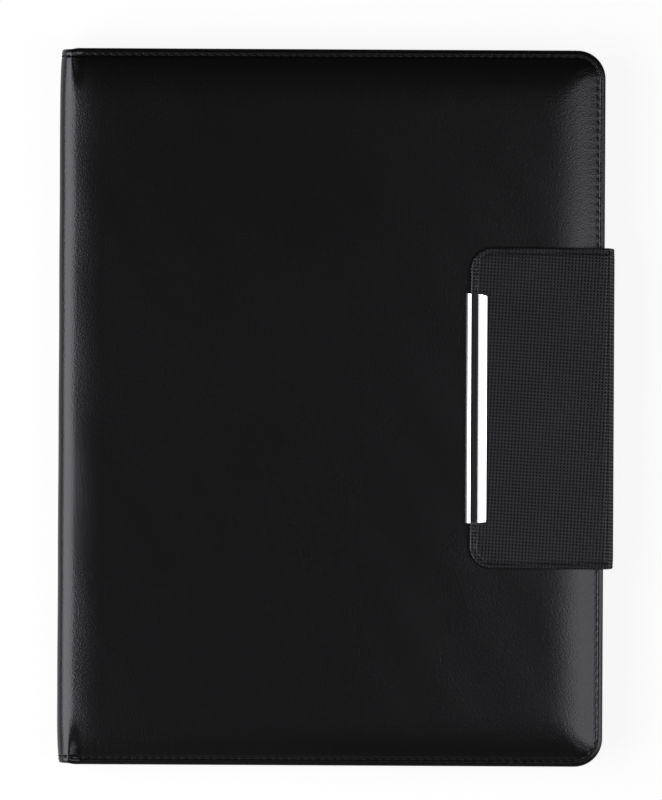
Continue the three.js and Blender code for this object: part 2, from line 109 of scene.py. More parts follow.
CLIP_RIM = 0.45
CLIP_LIP = 0.68
CLIP_CORNER = 1.3
ROW_X = -STRAP_OUTER / 2
RIPPLE = 6283  # Radians a metre, for one ripple a millimetre

# Lamps and tones
LEFT_WATTS = 26
RIGHT_WATTS = 6
STRIP_WATTS = 0.55
LOW_WATTS = 0.7
ROOM_LEVEL = 0.02
LEATHER_TONE = 0.0018
LEATHER_ROUGHNESS = 0.285
STRAP_TONE = 0.007


def place(x, y, z):
    """A point of the folder, given in its own millimetres, in the row frame."""
    return Vector(((x + ROW_X) * MM, y * MM, z * MM))


# Finishes


class Signal:
    """A value in a finish's node tree, for use in sums."""

    def __init__(self, finish, socket):
        self.finish = finish
        self.socket = socket

    def _sum(self, operation, first, second):
        return self.finish.node("ShaderNodeMath", {"operation": operation}, {0: first, 1: second})

    def __add__(self, other):
        return self._sum("ADD", self, other)

    __radd__ = __add__

    def __sub__(self, other):
        return self._sum("SUBTRACT", self, other)

    def __rsub__(self, other):
        return self._sum("SUBTRACT", other, self)

    def __mul__(self, other):
        return self._sum("MULTIPLY", self, other)

    __rmul__ = __mul__

    def __truediv__(self, other):
        return self._sum("DIVIDE", self, other)

    def __rtruediv__(self, other):
        return self._sum("DIVIDE", other, self)

    def __pow__(self, other):
        return self._sum("POWER", self, other)


class Finish:
    """A material, or the room's light, built up from nodes."""

    def __init__(self, name, kind=bpy.data.materials):
        self.made = kind.new(name)
        self.made.use_nodes = True
        self.tree = self.made.node_tree
        self.tree.nodes.clear()

    def node(self, kind, settings=None, sockets=None, output=0):
        made = self.tree.nodes.new(kind)
        for name, value in (settings or {}).items():
            setattr(made, name, value)
        for name, value in (sockets or {}).items():
            if isinstance(value, Signal):
                self.tree.links.new(value.socket, made.inputs[name])
            else:
                made.inputs[name].default_value = value
        return Signal(self, made.outputs[output]) if made.outputs else None

    def laid_out(self):
        """Place on the piece as it was cut flat, in metres."""
        return self.node("ShaderNodeTexCoord", output=2)

    def in_space(self):
        return self.node("ShaderNodeTexCoord", output=3)

    def noise(self, where, scale, detail=2, roughness=0.5):
        sockets = {"Vector": where, "Scale": scale, "Detail": detail, "Roughness": roughness}
        return self.node("ShaderNodeTexNoise", None, sockets)

    def pebbles(self, where, scale, feature="F1"):
        return self.node("ShaderNodeTexVoronoi", {"feature": feature}, {"Vector": where, "Scale": scale})

    def stretched(self, where, scale):
        return self.node("ShaderNodeMapping", None, {"Vector": where, "Scale": scale})

    def apart(self, where):
        return [self.node("ShaderNodeSeparateXYZ", None, {0: where}, i) for i in range(3)]

    def limit(self, value, low, high):
        settings = {"interpolation_type": "SMOOTHSTEP"}
        return self.node("ShaderNodeMapRange", settings, {0: value, 1: low, 2: high})

    def wave(self, value, pitch):
        """Ripples along a length in metres, with their pitch in millimetres."""
        return self.node("ShaderNodeMath", {"operation": "SINE"}, {0: value * (RIPPLE / pitch)})

    def to_and_fro(self, value, reach):
        return self.node("ShaderNodeMath", {"operation": "PINGPONG"}, {0: value, 1: reach})

    def blend(self, share, first, second):
        return self.node("ShaderNodeMix", {"data_type": "RGBA"}, {0: share, 6: first, 7: second}, 2)

    def relief(self, height, distance, strength=1.0):
        sockets = {"Height": height, "Distance": distance, "Strength": strength}
        return self.node("ShaderNodeBump", None, sockets)

    def finish(self, **sockets):
        named = {name.replace("_", " "): value for name, value in sockets.items()}
        surface = self.node("ShaderNodeBsdfPrincipled", None, named)
        self.node("ShaderNodeOutputMaterial", None, {"Surface": surface})
        return self.made


def grey(value, blue=1.0):
    return (value, value, value * blue, 1)


def smooth_leather(name):
    """Fine-grained black imitation leather."""
    f = Finish(name)
    where = f.laid_out()
    wander = f.noise(where, 1300)
    cells = f.pebbles(where, 1700, "SMOOTH_F1")
    grain = cells * 0.5 + wander * 0.6
    worn = f.limit(f.noise(where, 9), 0.3, 0.75)
    dark, light = grey(LEATHER_TONE * 0.6, 1.1), grey(LEATHER_TONE * 1.5, 1.1)
    colour = f.blend(f.limit(grain, 0.3, 0.9), dark, light)
    return f.finish(
        Base_Color=colour,
        Roughness=LEATHER_ROUGHNESS - worn * 0.015,
        Normal=f.relief(grain, 0.00012, 0.7),
    )


def dimpled_leather(name):
    """Black imitation leather pressed with a square grid of small round dimples, whose floors are
    painted near black as shade.
    """
    f = Finish(name)
    where = f.laid_out()
    turned = f.node("ShaderNodeMapping", None, {"Vector": where, "Rotation": (0, 0, -DIMPLE_TURN)})
    across, along, _ = f.apart(turned)
    pitch = DIMPLE_PITCH * MM
    from_x = f.to_and_fro(across, pitch / 2) / (pitch / 2)
    from_y = f.to_and_fro(along, pitch / 2) / (pitch / 2)
    round_off = (from_x**4 + from_y**4) ** 0.25
    pit = 1 - f.limit(round_off, 0.4, 0.72)
    grain = f.noise(where, 1400, 3)
    broad = f.noise(where, 40, 3)
    # Painted shade: the dimples' floors get a near-black colour, standing in for the shade in the pits.
    colour = f.blend(pit, grey(STRAP_TONE, 1.15), grey(STRAP_TONE * 0.08))
    colour = f.blend(f.limit(broad, 0.4, 0.75) * 0.3, colour, grey(STRAP_TONE * 1.5, 1.15))
    height = grain * 0.15 - pit * 0.6
    on_flap = 1 - f.limit(f.apart(where)[0], 0.06, 0.0635)
    return f.finish(
        Base_Color=colour,
        Roughness=0.42 + pit * 0.4 + (1 - on_flap) * 0.15,
        Coat_Weight=(1 - pit) * (0.12 + on_flap * 0.38),
        Specular_IOR_Level=0.22,
        Coat_Roughness=0.36,
        Normal=f.relief(height, 0.00016, 0.7),
    )


def lining_cloth(name):
    """Close black twill."""
    f = Finish(name)
    across, along, _ = f.apart(f.laid_out())
    rib = f.wave(across + along, 0.9)
    yarn = f.wave(across - along * 2, 0.6)
    weave = rib * 0.5 + yarn * 0.3
    fuzz = f.noise(f.laid_out(), 2200, 2)
    broad = f.noise(f.laid_out(), 14, 3)
    colour = f.blend(f.limit(weave, -0.8, 0.8), grey(0.006), grey(0.02, 1.06))
    colour = f.blend(f.limit(broad, 0.4, 0.8) * 0.3, colour, grey(0.024))
    return f.finish(
        Base_Color=colour,
        Roughness=0.85,
        Normal=f.relief(weave + fuzz * 0.6, 0.00008, 0.8),
    )


def twisted_thread(name):
    f = Finish(name)
    across, along, _ = f.apart(f.laid_out())
    twist = f.wave(across + along, 0.35)
    return f.finish(
        Base_Color=f.blend(f.limit(twist, -1, 1), grey(0.002), grey(0.006, 1.05)),
        Roughness=0.85,
        Normal=f.relief(twist, 0.00003, 0.6),
    )


def woven_elastic(name, laid=True):
    f = Finish(name)
    where = f.laid_out() if laid else f.in_space()
    across, along, _ = f.apart(where)
    ribs = f.wave(along, 0.8)
    picks = f.wave(across, 0.5)
    weave = ribs * 0.6 + picks * 0.3
    fuzz = f.noise(where, 2500, 2)
    return f.finish(
        Base_Color=f.blend(f.limit(weave, -0.8, 0.8), grey(0.004), grey(0.018)),
        Roughness=0.8,
        Normal=f.relief(weave + fuzz * 0.5, 0.0001, 0.8),
    )


def polished_clip(name):
    f = Finish(name)
    where = f.in_space()
    drawn = f.noise(f.stretched(where, (6000, 40, 6000)), 1, 2)
    marks = f.limit(f.noise(where, 60, 4), 0.55, 0.75)
    return f.finish(
        Base_Color=f.blend(marks * 0.15, grey(0.93, 0.99), grey(0.8, 0.97)),
        Metallic=1.0,
        Roughness=0.05 + marks * 0.06 + f.limit(drawn, 0.3, 0.7) * 0.02,
        Normal=f.relief(drawn, 0.0000008, 0.2),
    )


def page_stack(name):
    """Ruled top sheet, with the cut edges of the pages below and painted shade between the sheets."""
    f = Finish(name)
    where = f.in_space()
    _, along, up = f.apart(where)
    side = f.limit(up, 0.0097, 0.00985)
    line = f.to_and_fro(along + 0.0042, 0.004)
    ruled = (1 - f.limit(line, 0.00008, 0.00016)) * side
    inside = f.limit(along, 0.112, 0.1125)
    fibre = f.noise(where, 700, 4)
    sheets = f.wave(up, 0.2)
    edge = 1 - side
    colour = f.blend(f.limit(fibre, 0.3, 0.7) * 0.4, (0.82, 0.81, 0.77, 1), (0.9, 0.89, 0.86, 1))
    colour = f.blend(ruled * (1 - inside) * 0.75, colour, (0.42, 0.5, 0.62, 1))
    # Painted shade: dark lines between the sheets on the cut edges of the pages.
    colour = f.blend(edge * f.limit(sheets, 0.2, 1) * 0.45, colour, (0.5, 0.49, 0.46, 1))
    return f.finish(
        Base_Color=colour,
        Roughness=0.85,
        Normal=f.relief(fibre * 0.3 + sheets * edge, 0.00004, 0.6),
    )


def grey_card(name):
    f = Finish(name)
    where = f.in_space()
    fibre = f.noise(where, 420, 5, 0.65)
    specks = f.pebbles(where, 900)
    colour = f.blend(f.limit(fibre, 0.3, 0.7), (0.2, 0.185, 0.16, 1), (0.32, 0.3, 0.26, 1))
    colour = f.blend((1 - f.limit(specks, 0.05, 0.2)) * 0.5, colour, (0.1, 0.09, 0.08, 1))
    return f.finish(Base_Color=colour, Roughness=0.9, Normal=f.relief(fibre, 0.00008, 0.5))


def soft_foam(name):
    f = Finish(name)
    where = f.in_space()
    pores = f.pebbles(where, 1100)
    broad = f.noise(where, 60, 3)
    # Painted shade: the pores are coloured darker, as the shade inside them.
    painted_pore_shade = 1 - f.limit(pores, 0.1, 0.5)
    colour = f.blend(painted_pore_shade, (0.72, 0.69, 0.6, 1), (0.45, 0.42, 0.34, 1))
    colour = f.blend(f.limit(broad, 0.4, 0.7) * 0.3, colour, (0.8, 0.76, 0.62, 1))
    return f.finish(Base_Color=colour, Roughness=0.95, Normal=f.relief(pores, 0.0003, 0.7))


def plated_magnet(name):
    f = Finish(name)
    where = f.in_space()
    turned = f.noise(f.stretched(where, (300, 3000, 300)), 1, 3)
    return f.finish(
        Base_Color=f.blend(f.limit(turned, 0.3, 0.7), grey(0.34), grey(0.5)),
        Metallic=1.0,
        Roughness=0.3 + f.limit(turned, 0.3, 0.7) * 0.15,
        Normal=f.relief(turned, 0.00001, 0.4),
    )


LEATHER = smooth_leather("smooth_leather")
DIMPLED = dimpled_leather("dimpled_leather")
CLOTH = lining_cloth("twill_lining")
THREAD_FINISH = twisted_thread("black_thread")
ELASTIC = woven_elastic("woven_elastic")
TAPE = woven_elastic("binding_tape", laid=False)
CLIP_METAL = polished_clip("polished_clip_metal")
PAGES = page_stack("ruled_pages")
CARD = grey_card("grey_card")
FOAM = soft_foam("soft_foam")
MAGNET = plated_magnet("plated_magnet")


# Building pieces


def piece(name, points, faces, laid, finish):
    """A mesh object from points, faces and each point's place as cut flat."""
    mesh = bpy.data.meshes.new(name)
    mesh.from_pydata(points, [], faces)
    layer = mesh.uv_layers.new(name="laid_out")
    for loop in mesh.loops:
        layer.data[loop.index].uv = laid[loop.vertex_index]
    mesh.validate()
    mesh.materials.append(finish)
    mesh.polygons.foreach_set("use_smooth", [True] * len(mesh.polygons))
    made = bpy.data.objects.new(name, mesh)
    bpy.context.scene.collection.objects.link(made)
    return made


def ease(value):
    value = min(max(value, 0.0), 1.0)
    return value * value * (3 - 2 * value)


def stations(end, spacing, start=0.0, sewn_start=False):
    """Places from start to end, closer near the ends that are sewn."""
    low = [start + step for step in SEAM_STEPS] if sewn_start else [start]
    high = [end - step for step in reversed(SEAM_STEPS)]
    span = high[0] - low[-1]
    count = max(1, round(span / spacing))
    return low + [low[-1] + span * i / count for i in range(1, count)] + high


def grid_faces(columns, rows):
    starts = [i * rows + j for i in range(columns - 1) for j in range(rows - 1)]
    return [(a, a + rows, a + rows + 1, a + 1) for a in starts]


def three_sides(columns, rows):
    """The points along a grid's first row, its last column and its last row."""
    side = [i * rows for i in range(columns)]
    side += [(columns - 1) * rows + j for j in range(1, rows)]
    return side + [i * rows + rows - 1 for i in range(columns - 2, -1, -1)]


def band_faces(first, second):
    """The faces between two lines of points."""
    return [(first[k], second[k], second[k + 1], first[k + 1]) for k in range(len(first) - 1)]


def tube_faces(count, around):
    """The faces round a run of closed rings, with both ends shut."""
    faces = []
    for i in range(count - 1):
        for j in range(around):
            a, b = i * around + j, i * around + (j + 1) % around
            faces.append((a, b, b + around, a + around))
    faces.append(tuple(range(around - 1, -1, -1)))
    faces.append(tuple((count - 1) * around + j for j in range(around)))
    return faces


def turned(faces):
    """The faces with their other side out, each with its first point kept."""
    return [(face[0], *reversed(face[1:])) for face in faces]


def backwards(faces):
    return [tuple(reversed(face)) for face in faces]


def shifted(faces, base):
    return [tuple(base + index for index in face) for face in faces]


def corner_warp(x, y, right, top, radius):
    """Bends the square corner of a grid to a round one."""
    across, up = right - x, top - y
    if across >= radius or up >= radius:
        return x, y, (1.0, 0.0) if across < up else (0.0, 1.0)
    a, b = 1 - across / radius, 1 - up / radius
    share = max(a, b)
    if share < 1e-9:
        return x, y, (0.7071, 0.7071)
    angle = math.pi / 4 * b / a if a >= b else math.pi / 2 - math.pi / 4 * a / b
    out = (math.cos(angle), math.sin(angle))
    return right - radius + radius * share * out[0], top - radius + radius * share * out[1], out


def edge_distance(across, up, soften=5.0):
    """Distance from the nearer of two sewn edges, rounded off where they are alike."""
    near = min(across, up)
    shared = max(soften - abs(across - up), 0) / soften
    return near - soften / 4 * shared * shared * ease((near - 5) / 7)


def stitch(points, faces, laid, centre, along, up):
    """One thread stitch that dives into the leather at both ends."""
    side = along.cross(up).normalized()
    rings, around = 7, 7
    base = len(points)
    for ring in range(rings):
        share = ring / (rings - 1) * 2 - 1
        reach = share * STITCH_LENGTH / 2
        radius = THREAD * math.sqrt(max(1 - abs(share) ** 4, 0.02))
        sink = THREAD * (1.5 * abs(share) ** 3 - 0.1)
        middle = centre + along * reach - up * sink
        for turn in range(around):
            angle = 2 * math.pi * turn / around
            offset = side * (math.cos(angle) * radius) + up * (math.sin(angle) * radius * 0.9)
            points.append(middle + offset)
            laid.append(((reach + turn * 0.1) * MM, turn * THREAD * MM))
    faces.extend(shifted(tube_faces(rings, around), base))


def thread_run(name, spots):
    """A row of stitches, each given by its middle, its direction and the way out of the leather."""
    points, faces, laid = [], [], []
    for centre, along, up in spots:
        stitch(points, faces, laid, centre, along.normalized(), up.normalized())
    points = [place(*point) for point in points]
    return piece(name, points, faces, laid, THREAD_FINISH)


def evenly(length):
    """How far along a length each of its stitches has its middle."""
    count = round(length / STITCH_PITCH)
    return [(i + 0.5) * length / count for i in range(count)]


def corner_angles(radius):
    """The angle of each stitch round a quarter turn."""
    steps = round(radius * math.pi / 2 / STITCH_PITCH)
    return [math.pi / 2 * (i + 0.5) / steps for i in range(steps)]


# Covers and spine


def hinge_path(u, depth):
    """Place in x and z on the front cover's outside, u from the end of the hinge's round."""
    if u >= 0:
        return HINGE + u, CLOSED - depth
    turn = -u / HINGE
    if turn <= math.pi / 2:
        reach = HINGE - depth
        return HINGE - reach * math.sin(turn), CLOSED - HINGE + reach * math.cos(turn)
    return depth, CLOSED - HINGE - (-u - HINGE * math.pi / 2)


MID_SPINE = -(HINGE * math.pi / 2 + MIDDLE - HINGE)


def padding_share(u):
    """How much of the padding's drop towards the seams the leather has, less over the spine."""
    return 0.22 + 0.78 * ease((u + 2.5) / 6)


def seam_place(across, up):
    """Length along the seam, which starts at the hinge and runs round the fore edge."""
    straight = COVER_WIDTH - FORE_CORNER - HINGE
    if across >= FORE_CORNER and up < across:
        return straight + FORE_CORNER - across
    if up >= FORE_CORNER:
        return straight + FORE_CORNER * math.pi / 2 * 0.86 + up - FORE_CORNER
    angle = math.atan2(FORE_CORNER - across, FORE_CORNER - up)
    return straight + FORE_CORNER * 0.86 * angle


def cover_depth(u, across, up, v):
    """How far the leather lies below the cover's highest level."""
    near = edge_distance(across, up)
    rise = min(max((near - PUFF_START) / PUFF_WIDTH, 0), 1)
    drop = (PANEL - SEAM) * (1 - rise) ** PUFF_FALL * padding_share(u)
    past = max(u + 1, 0)
    fall = CREASE_FALL * max(1 - past / CREASE_REACH, 0) ** 2.2
    fall += SAG * max(1 - past / SAG_REACH, 0) ** 2
    crown = fall * ease((u + HINGE * math.pi / 2) / 9) * min(rise * 1.6, 1)
    place_on_seam = seam_place(across, up)
    beat = 0.5 - 0.5 * math.cos(2 * math.pi * place_on_seam / STITCH_PITCH)
    inset = min(across, up)
    spread = 0.55 if inset > SEAM_INSET else 0.85
    hole = HOLE_DEPTH * (1 - beat) * (1 if max(across, up) > FORE_CORNER else 0.3)
    groove = (GROOVE_DEPTH + hole) * math.exp(-(((inset - SEAM_INSET) / spread) ** 2))
    pucker = PUCKER_DEPTH * (1 - beat) * math.exp(-(((inset - SEAM_INSET - 1.6) / 1.6) ** 2))
    lip = LIP_DROP * min(max((SEAM_INSET - 0.9 - inset) / 1.2, 0), 1) ** 1.4
    wave = 0.05 * math.sin(u * 0.071 + 1.1) * math.sin(v * 0.047 + 0.4)
    wave += 0.035 * math.sin(u * 0.19 + v * 0.11)
    return drop + crown + groove + pucker + lip + (wave + 0.06) * rise


def cover_leather(name, mirrored):
    """Leather over one cover and its half of the spine, with its edge turned in."""
    right = COVER_WIDTH - HINGE - EDGE_ROUND
    top = COVER_HEIGHT / 2 - EDGE_ROUND
    radius = FORE_CORNER - EDGE_ROUND
    us = [MID_SPINE + i * 1.05 for i in range(4)] + [-11 + i * 0.79 for i in range(14)]
    us += stations(right, 1.2)
    us = sorted(set(round(u, 4) for u in us))
    vs = stations(top, 1.2, -top, True)
    points, laid, normals, levels = [], [], [], []

    def put(u, v, depth):
        x, z = hinge_path(u, depth)
        ends = SPINE_STEP * (1 - ease((u + 3) / 5)) * ease((abs(v) - top + 12) / 12)
        points.append((x, v - math.copysign(ends, v), CLOSED - z if mirrored else z))
        laid.append((u * MM, v * MM))

    for u in us:
        for v in vs:
            su, sv, out = corner_warp(u, abs(v), right, top, radius)
            depth = cover_depth(u, right - u + EDGE_ROUND, top - abs(v) + EDGE_ROUND, v)
            put(su, math.copysign(sv, v), depth)
            normals.append((out[0], math.copysign(out[1], v)))
            levels.append((su, math.copysign(sv, v), depth))
    rows = len(vs)
    faces = grid_faces(len(us), rows)
    border = three_sides(len(us), rows)
    previous = border
    turns = 7
    thick = SEAM - LINING
    for step in range(1, turns + 2):
        ring = []
        for index in border:
            u, v, depth = levels[index]
            nu, nv = normals[index]
            if index % rows in (0, rows - 1) and us[index // rows] < right - radius:
                nu, nv = 0.0, math.copysign(1.0, v)
            wall = thick * (0.85 + 0.15 * ease((u + 3) / 6))
            if step <= turns:
                angle = math.pi * step / turns
                out, down = EDGE_ROUND * math.sin(angle), wall / 2 * (1 - math.cos(angle))
            else:
                out, down = -5.0, wall
            ring.append(len(points))
            put(u + nu * out, v + nv * out, depth + down)
        faces += band_faces(previous, ring)
        previous = ring
    if mirrored:
        faces = backwards(faces)
    return piece(name, [place(*point) for point in points], faces, laid, LEATHER)


def cover_stitches(name, mirrored):
    """The seam's stitches on the outside of one cover, and along its end of the spine."""
    spots = []
    inset = SEAM_INSET
    straight = COVER_WIDTH - FORE_CORNER - HINGE
    top = COVER_HEIGHT / 2 - inset
    radius = FORE_CORNER - inset
    side = COVER_HEIGHT - 2 * FORE_CORNER

    def add(u, v, du, dv, across, up):
        depth = cover_depth(u, across, up, v) - 0.12
        x, z = hinge_path(u, depth)
        x2, z2 = hinge_path(u + du * 0.2, depth)
        x3, z3 = hinge_path(u, depth - 1)
        ends = SPINE_STEP * (1 - ease((u + 3) / 5))
        flip = -1 if mirrored else 1
        level = CLOSED - z if mirrored else z
        along = Vector((x2 - x, dv * 0.2, (z2 - z) * flip))
        out = Vector((x3 - x, 0, (z3 - z) * flip))
        spots.append((Vector((x, v - math.copysign(ends, v), level)), along, out))

    count = round((straight - MID_SPINE) / STITCH_PITCH)
    for sign in (-1, 1):
        for i in range(count):
            u = straight - (i + 0.5) * STITCH_PITCH
            if u > MID_SPINE + 1.5:
                add(u, sign * top, 1, 0, 30, inset)
        for angle in corner_angles(radius):
            u = straight + radius * math.cos(angle)
            v = sign * (COVER_HEIGHT / 2 - FORE_CORNER + radius * math.sin(angle))
            add(u, v, -math.sin(angle), sign * math.cos(angle), inset, inset)
    for v in evenly(side):
        add(straight + radius, -side / 2 + v, 0, 1, inset, 30)
    return thread_run(name, spots)


def lining_path(u, depth):
    """Place in x and z on the front lining's face: level, then a round, then the spine's wall."""
    level, wall, radius = INNER_HIGH, LINING_WALL, LINING_ROUND
    if u >= 0:
        return wall + radius + u, level + depth
    turn = -u / radius
    if turn <= math.pi / 2:
        reach = radius + depth
        return wall + radius - reach * math.sin(turn), level - radius + reach * math.cos(turn)
    return wall - depth, level - radius - (-u - radius * math.pi / 2)


LINING_MIDDLE = -(LINING_ROUND * math.pi / 2 + INNER_HIGH - LINING_ROUND - MIDDLE)
LINING_REACH = COVER_WIDTH - LINING_INSET - LINING_WALL - LINING_ROUND


def cover_lining(name, mirrored):
    """Cloth on the inside of one cover and half of the spine."""
    fold = 0.25
    right = LINING_REACH
    top = COVER_HEIGHT / 2 - LINING_INSET
    us = [LINING_MIDDLE + i * (-LINING_MIDDLE) / 10 for i in range(10)]
    us += stations(right - fold, 3.0)
    vs = stations(top - fold, 3.0, fold - top, True)
    radius = FORE_CORNER - LINING_INSET
    points, laid, outs = [], [], []

    def put(u, v, depth):
        x, z = lining_path(u, depth)
        points.append((x, v, CLOSED - z if mirrored else z))
        laid.append((u * MM, v * MM))

    for u in us:
        for v in vs:
            su, sv, out = corner_warp(u, abs(v), right - fold, top - fold, radius)
            inset = min(right - u, top - abs(v))
            sewn = 0.12 * math.exp(-(((inset - 0.7) / 0.6) ** 2))
            put(su, math.copysign(sv, v), sewn + 0.02 * math.sin(u * 0.13) * math.sin(v * 0.09))
            outs.append((su, math.copysign(sv, v), out[0], math.copysign(out[1], v)))
    rows = len(vs)
    faces = turned(grid_faces(len(us), rows))
    border = three_sides(len(us), rows)
    previous = border
    for out_by, down in ((0.18, 0.08), (fold, 0.3), (fold, LINING)):
        ring = []
        for index in border:
            u, v, nu, nv = outs[index]
            if index % rows in (0, rows - 1) and us[index // rows] < right - radius - fold:
                nu, nv = 0.0, math.copysign(1.0, v)
            ring.append(len(points))
            put(u + nu * out_by, v + nv * out_by, down)
        faces += turned(band_faces(previous, ring))
        previous = ring
    if mirrored:
        faces = backwards(faces)
    return piece(name, [place(*point) for point in points], faces, laid, CLOTH)


def lining_stitches(name, mirrored):
    """The same seam as it shows on the lining, left out where the strap comes through."""
    spots = []
    flip = 1 if mirrored else -1
    level = CLOSED - INNER_HIGH if mirrored else INNER_HIGH
    inset = SEAM_INSET + 0.15
    straight = COVER_WIDTH - FORE_CORNER
    side = COVER_HEIGHT - 2 * FORE_CORNER
    out = Vector((0, 0, flip))
    count = int((straight - 14) / STITCH_PITCH)
    radius = FORE_CORNER - inset
    for sign in (-1, 1):
        for i in range(count):
            x = straight - (i + 0.5) * STITCH_PITCH
            y = sign * (COVER_HEIGHT / 2 - inset)
            spots.append((Vector((x, y, level)), Vector((1, 0, 0)), out))
        for angle in corner_angles(radius):
            x = straight + radius * math.cos(angle)
            y = sign * (COVER_HEIGHT / 2 - FORE_CORNER + radius * math.sin(angle))
            along = Vector((-math.sin(angle), sign * math.cos(angle), 0))
            spots.append((Vector((x, y, level)), along, out))
    for v in evenly(side):
        y = -side / 2 + v
        if not mirrored or abs(y) > FLAP_HEIGHT / 2 + 1:
            spots.append((Vector((COVER_WIDTH - inset, y, level)), Vector((0, 1, 0)), out))
    return thread_run(name, spots)


FRONT_BEND = (place(HINGE + 1, 0, CLOSED - 1), place(1, 0, CLOSED - HINGE - 1))
BACK_BEND = (place(HINGE + 1, 0, 1), place(1, 0, HINGE + 1))
FRONT_INNER_BEND = (place(9, 0, INNER_HIGH), place(3, 0, INNER_HIGH - 4))
BACK_INNER_BEND = (place(9, 0, INNER_LOW), place(3, 0, INNER_LOW + 4))
# Each cover's name, whether it is mirrored, and where its leather and its lining bend
SIDES = (
    ("front", False, FRONT_BEND, FRONT_INNER_BEND),
    ("back", True, BACK_BEND, BACK_INNER_BEND),
)

for side, mirrored, bend, _ in SIDES:
    made = cover_leather(side + "_cover_leather", mirrored)
    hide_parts(side + "_skin", "spine_skin")
    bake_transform(made)
for side, mirrored, bend, _ in SIDES:
    made = cover_stitches(side + "_cover_stitches", mirrored)
    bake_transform(made)

CLOTH_WIDTH = (LINING_REACH - LINING_MIDDLE) * MM
CLOTH_LENGTH = (COVER_HEIGHT - 2 * LINING_INSET) * MM
CLOTH_AREA = CLOTH_WIDTH * CLOTH_LENGTH * 0.998  # Less its round corners
for side, mirrored, _, bend in SIDES:
    made = cover_lining(side + "_lining_cloth", mirrored)
    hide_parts(side + "_lining", "spine_lining")
    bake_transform(made)
for side, mirrored, _, _ in SIDES:
    made = lining_stitches(side + "_lining_stitches", mirrored)
    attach(made, side + "_cover")


# Pockets, pad sleeve and pen loop


def sewn_sheet(name, node, body, face_up, corner, mouth_hem=4.5, bulge=0.25):
    """A leather sheet sewn flat on three sides, with a turned hem at its open upper side."""
    low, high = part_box(node)
    left, right = low.x / MM, high.x / MM
    bottom, top = low.y / MM, high.y / MM
    face = (high.z if face_up else low.z) / MM
    thick = min((high.z - low.z) / MM, 1.3)
    middle_x, middle_y = (left + right) / 2, (bottom + top) / 2
    half_w, half_h = (right - left) / 2 - 0.3, (top - bottom) / 2 - 0.3
    sign = 1 if face_up else -1
    xs = stations(half_w, 2.4, -half_w, True)
    ys = stations(half_h, 2.4, -half_h, True)
    points, laid, outs = [], [], []

    def put(x, y, depth):
        points.append(Vector(((middle_x + x) * MM, (middle_y + y) * MM, (face - sign * depth) * MM)))
        laid.append((x * MM, y * MM))

    for x in xs:
        for y in ys:
            wx, wy, out = corner_warp(abs(x), abs(y), half_w, half_h, corner)
            wx, wy = math.copysign(wx, x), math.copysign(wy, y)
            inset = min(half_w - abs(x), half_h + y)
            beat = 0.5 - 0.5 * math.cos(2 * math.pi * (x + y) / STITCH_PITCH)
            depth = (0.14 + 0.06 * beat) * math.exp(-(((inset - 2.1) / 0.5) ** 2))
            hem = half_h - y
            depth += 0.12 * math.exp(-(((hem - mouth_hem) / 0.4) ** 2))
            full = ease((inset - 2.5) / 12) * ease((y + half_h) / 30)
            depth += bulge * 0.5 - bulge * 0.5 * full * (0.75 + 0.25 * math.sin(x * 0.06 + 1))
            put(wx, wy, depth)
            outs.append((wx, wy, math.copysign(out[0], x), math.copysign(out[1], y)))
    rows, columns = len(ys), len(xs)
    faces = grid_faces(columns, rows)
    border = three_sides(columns, rows) + list(range(rows - 2, -1, -1))
    previous = border
    for out_by, down in ((0.2, 0.08), (0.3, 0.25), (0.3, thick)):
        ring = []
        for index in border[:-1]:
            x, y, nx, ny = outs[index]
            ring.append(len(points))
            put(x + nx * out_by, y + ny * out_by, down + bulge * 0.5 * (down < thick))
        ring.append(ring[0])
        faces += band_faces(previous, ring)
        previous = ring
    if not face_up:
        faces = backwards(faces)
    made = piece(name, points, faces, laid, LEATHER)
    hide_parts(node)
    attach(made, body)
    inset = 2.4
    spots = []
    level = face - sign * (0.14 + bulge * 0.5 - 0.12)
    out = Vector((0, 0, sign))
    height = top - bottom - inset - corner - 1
    for side in (-1, 1):
        for down in evenly(height):
            x = middle_x + side * (half_w + 0.3 - inset)
            spots.append((Vector((x - ROW_X, top - 1 - down, level)), Vector((0, 1, 0)), out))
    width = right - left - 2 * (inset + corner * 0.3)
    for across in evenly(width):
        x = left + inset + corner * 0.3 + across
        spots.append((Vector((x - ROW_X, bottom + inset, level)), Vector((1, 0, 0)), out))
        spots.append((Vector((x - ROW_X, top - mouth_hem, level)), Vector((1, 0, 0)), out))
    threads = thread_run(name + "_stitches", spots)
    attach(threads, body)


sewn_sheet("document_pocket_leather", "document_pocket", "front_cover", False, 3)
for row in ("back", "middle", "front"):
    pocket = "card_pocket_" + row
    sewn_sheet(pocket + "_leather", pocket, "front_cover", False, 3, 3.2, 0.1)
sewn_sheet("pad_sleeve_leather", "pad_sleeve", "back_cover", True, 2)


